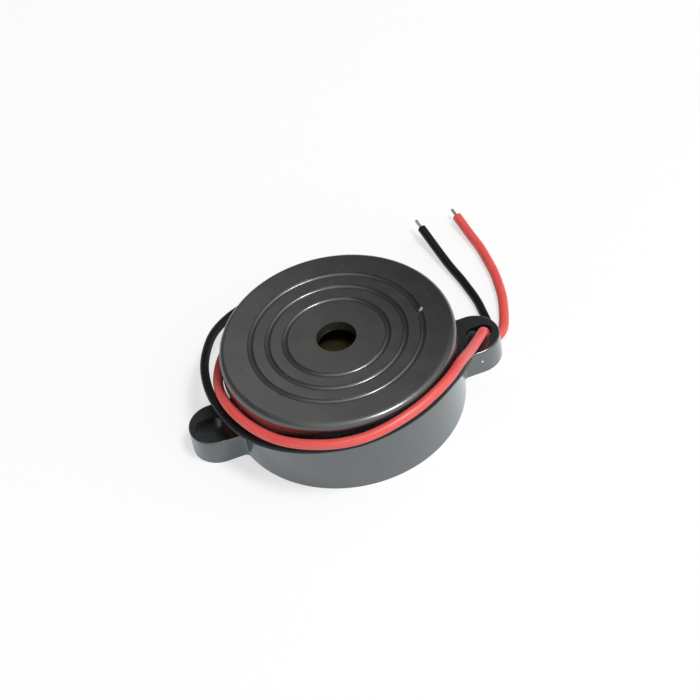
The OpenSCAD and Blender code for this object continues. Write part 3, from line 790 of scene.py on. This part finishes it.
class BUZZER_OT_tracks(bpy.types.Operator):
    """Lays the copper tracks under the board, from joint to joint"""

    bl_idname = "buzzer.tracks"
    bl_label = "Board tracks"

    def execute(self, context):
        look = context.scene.buzzer_board
        copper = metal("Bare copper", look.copper, scaled(look.copper, 0.6), 0.3, 700)
        for name, runs in TRACKS.items():
            for index, run in enumerate(runs, 1):
                piece = f"{name}_track_{index}" if len(runs) > 1 else f"{name}_track"
                add_piece(self.band_mesh(piece, run, look), copper, "copper")
        return {"FINISHED"}

    def band_mesh(self, name, run, look):
        """A flat band under the board: a rectangle's four corners carried along a smooth line, sunk into the
        board by as much as it stands out."""
        flat = np.array(run, float)
        points = np.c_[flat, np.full(len(flat), BOARD_Z)] * MM
        corner = math.atan2(look.track_width / 2, look.track_height)
        reach = math.hypot(look.track_width / 2, look.track_height)
        turn = np.array([corner, math.pi - corner, math.pi + corner, -corner])
        mesh = tube_mesh(name, smooth_line(points, 40), reach, turn)
        mesh.shade_flat()
        return mesh


class BUZZER_OT_jumpers(bpy.types.Operator):
    """Runs the three inner wires from the board up to the disc"""

    bl_idname = "buzzer.jumpers"
    bl_label = "Inner wires"

    def execute(self, context):
        look = context.scene.buzzer_leads
        silver_r, ground_r, tongue_r = 11.5, 13.85, 7.75
        disc_z, silver_z = 10.3, 9.95
        ground_turn = math.radians(100)
        ground_dot = ground_r * np.array([math.cos(ground_turn), math.sin(ground_turn)])
        drive_dot = silver_r * np.array([-0.52, 0.56])
        feedback_dot = tongue_r * np.full(2, math.sqrt(0.5))
        blue = (0.03, 0.1, 0.38)
        wires = (
            ("ground", look.black, (-0.13, 0.53), ground_dot, disc_z, "black_insulation"),
            ("drive", look.red, (-0.48, 0.45), drive_dot, silver_z, "red_insulation"),
            ("feedback", blue, (0.11, 0.43), feedback_dot, silver_z, "blue_insulation"),
        )
        steps = np.array([(0, 0), (0, 0.2), (0.15, 0.45), (0.6, 0.68), (1, 0.85), (1, 1)])
        dot_h, touch, wire_r, edge = 0.8, 0.02, 0.4 * MM, 0.05 * MM
        for name, tone, hole, dot, dot_z, slot in wires:
            start = BOARD_R * np.array(hole)
            rise = dot_z - dot_h - touch - BOARD_TOP
            flat = start + steps[:, :1] * (dot - start)
            points = np.concatenate([flat, BOARD_TOP + touch + steps[:, 1:] * (rise - touch)], 1) * MM
            path, radii = eased_ends(smooth_line(points, 60), wire_r, edge)
            finish = insulation(f"{name.capitalize()} wire insulation", tone, 0.0, 1.45)
            tube = tube_mesh(f"{name}_wire", path, radii, round_turn(16))
            add_piece(tube, finish, slot, f"{name}_jumper")
        return {"FINISHED"}


class BUZZER_PT_panel(bpy.types.Panel):
    """Lists the pieces and their looks"""

    bl_idname = "BUZZER_PT_panel"
    bl_label = "Panel buzzer"
    bl_space_type = "VIEW_3D"
    bl_region_type = "UI"
    bl_category = "Buzzer"

    def draw(self, context):
        for operator in OPERATORS:
            self.layout.operator(operator.bl_idname)
        for group_name in LOOKS:
            look = getattr(context.scene, group_name)
            for name in look.__annotations__:
                self.layout.prop(look, name)


LOOKS = {
    "buzzer_housing": HousingLook,
    "buzzer_leads": LeadLook,
    "buzzer_board": BoardLook,
    "buzzer_stage": StageLook,
}
OPERATORS = (
    BUZZER_OT_stage,
    BUZZER_OT_leads,
    BUZZER_OT_housing,
    BUZZER_OT_sounder,
    BUZZER_OT_board,
    BUZZER_OT_tracks,
    BUZZER_OT_jumpers,
)


def register():
    for cls in (*LOOKS.values(), *OPERATORS, BUZZER_PT_panel):
        bpy.utils.register_class(cls)
    for name, cls in LOOKS.items():
        setattr(bpy.types.Scene, name, bpy.props.PointerProperty(type=cls))


def unregister():
    for name in LOOKS:
        delattr(bpy.types.Scene, name)
    for cls in reversed((*LOOKS.values(), *OPERATORS, BUZZER_PT_panel)):
        bpy.utils.unregister_class(cls)


def main():
    register()
    build_groups()
    bpy.ops.buzzer.stage()
    bpy.ops.buzzer.leads()
    bpy.ops.buzzer.housing()
    bpy.ops.buzzer.sounder()
    bpy.ops.buzzer.board()
    bpy.ops.buzzer.tracks()
    bpy.ops.buzzer.jumpers()


if __name__ == "__main__":
    main()
